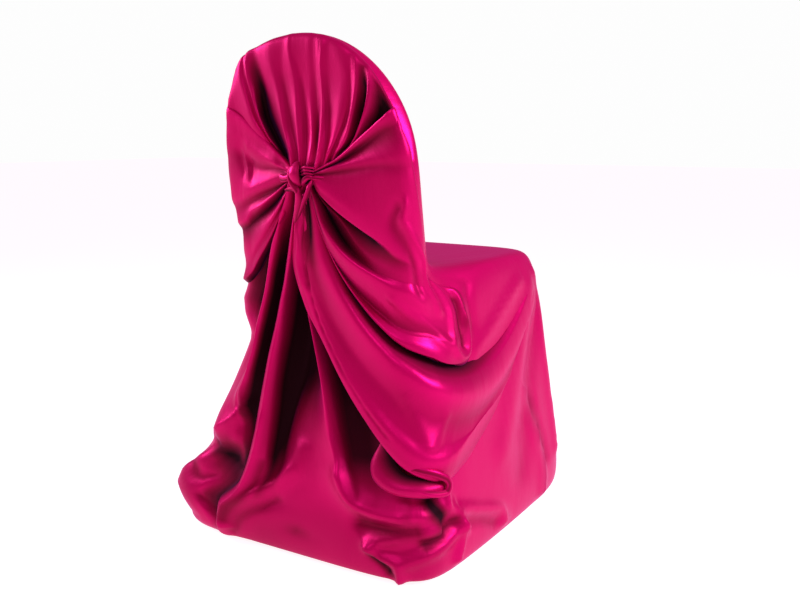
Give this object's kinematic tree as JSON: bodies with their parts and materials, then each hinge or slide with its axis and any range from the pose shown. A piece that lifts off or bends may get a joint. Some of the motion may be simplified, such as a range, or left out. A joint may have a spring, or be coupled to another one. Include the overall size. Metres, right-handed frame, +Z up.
{
  "type": "chair cover with sash",
  "caption": "Floor-length satin cover for a round-backed banquet chair, its side wings tied in a knot behind the back and a drape swagged to the seat's front corner.",
  "frame": {"origin": "inside the hood, under its top, where the chair's top rail carries the cover", "axes": "+Z up, +Y the way the chair faces, +X to the right as seen from behind the chair, the side to which the drape is swagged"},
  "size_m": [0.6046, 0.6639, 0.9026],
  "materials": {
    "cover_satin": "satin",
    "sash_satin": "satin"
  },
  "bodies": {
    "root": {"cover": "cover_satin", "back_drape": "cover_satin", "sash_wing_left": "sash_satin", "sash_wing_right": "sash_satin", "sash_knot": "sash_satin", "sash_tail": "sash_satin"}
  },
  "joints": []
}
